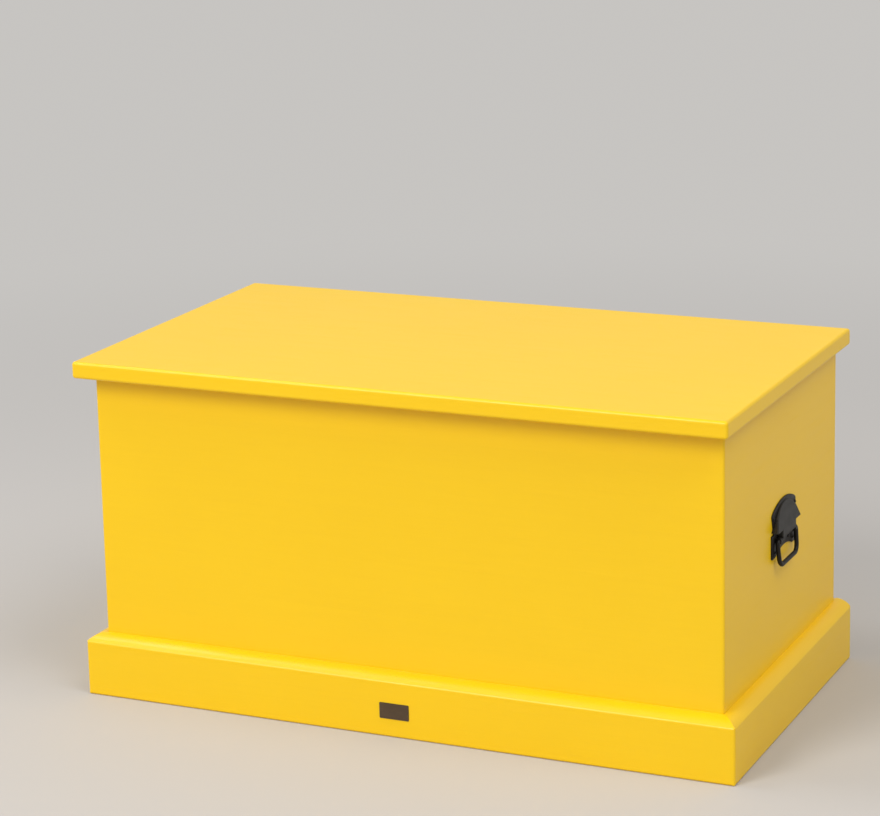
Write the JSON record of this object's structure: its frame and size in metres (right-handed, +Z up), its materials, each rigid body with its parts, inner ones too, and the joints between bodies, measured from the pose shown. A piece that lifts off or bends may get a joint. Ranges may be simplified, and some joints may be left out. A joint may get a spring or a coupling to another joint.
{
  "type": "storage chest",
  "caption": "Painted wooden storage chest with a hinged overhanging lid, a moulded plinth, iron bail handles on its sides and a slotted lid stay.",
  "frame": {"origin": "on the floor, under the middle of the chest's overall box", "axes": "+Z up, +X along the chest's length towards the side whose handle the picture shows, -Y towards the front with the label plate"},
  "size_m": [1.012, 0.57, 0.514],
  "materials": {
    "painted_wood": "satin yellow paint",
    "bare_pine": "planed, unpainted",
    "beech_dowel": "fluted, unpainted",
    "zinc_screw": "zinc plated",
    "hinge_brass": "dull",
    "stay_steel": "satin",
    "black_iron": "satin black",
    "label_metal": "dark, aged",
    "felt": "felt"
  },
  "bodies": {
    "chest": {"front_panel": "painted_wood", "back_panel": "painted_wood", "left_panel": "painted_wood", "right_panel": "painted_wood", "plinth_front": "painted_wood", "plinth_left": "painted_wood", "plinth_right": "painted_wood", "plinth_back": "painted_wood", "bottom_panel": "bare_pine", "ledger_front": "bare_pine", "ledger_back": "bare_pine", "ledger_left": "bare_pine", "ledger_right": "bare_pine", "corner_dowels": "beech_dowel", "ledger_screws": "zinc_screw", "plinth_screws": "zinc_screw", "hinge_body_screws": "zinc_screw", "stay_plate_screws": "zinc_screw", "label_pins": "zinc_screw", "hinge_body_leaf_left": "hinge_brass", "hinge_body_leaf_right": "hinge_brass", "hinge_pin_left": "hinge_brass", "hinge_pin_right": "hinge_brass", "stay_plate": "stay_steel", "stay_stud": "stay_steel", "handle_plate_right": "black_iron", "handle_plate_left": "black_iron", "handle_screws_right": "black_iron", "handle_screws_left": "black_iron", "label_plate": "label_metal", "lid_bumpers": "felt"},
    "lid": {"lid_panel": "painted_wood", "lid_batten_left": "painted_wood", "lid_batten_centre": "painted_wood", "lid_batten_right": "painted_wood", "batten_screws": "zinc_screw", "hinge_lid_leaf_left": "hinge_brass", "hinge_lid_leaf_right": "hinge_brass", "hinge_lid_screws": "zinc_screw", "stay_bracket": "stay_steel", "stay_bracket_screws": "zinc_screw", "stay_rivet": "stay_steel"},
    "stay_arm": {"stay_arm": "stay_steel"},
    "right_bail": {"handle_bail_right": "black_iron"},
    "left_bail": {"handle_bail_left": "black_iron"}
  },
  "joints": [
    {"name": "lid_hinge", "type": "hinge", "parent": "chest", "child": "lid", "pos_m": [0, 0.2745, 0.48825], "axis": [-1, 0, 0], "range_deg": [0, 95]},
    {"name": "stay_pivot", "type": "hinge", "parent": "lid", "child": "stay_arm", "pos_m": [-0.456, 0.09506, 0.474], "axis": [-1, 0, 0], "range_deg": [-47.5, 0]},
    {"name": "right_bail_swing", "type": "hinge", "parent": "chest", "child": "right_bail", "pos_m": [0.4887, 0.011, 0.2735], "axis": [0, -1, 0], "range_deg": [0, 140]},
    {"name": "left_bail_swing", "type": "hinge", "parent": "chest", "child": "left_bail", "pos_m": [-0.4887, 0.011, 0.2735], "axis": [0, 1, 0], "range_deg": [0, 140]}
  ],
  "couplings": [
    {"joint": "stay_pivot", "follows": "lid_hinge", "ratio": -0.5}
  ]
}
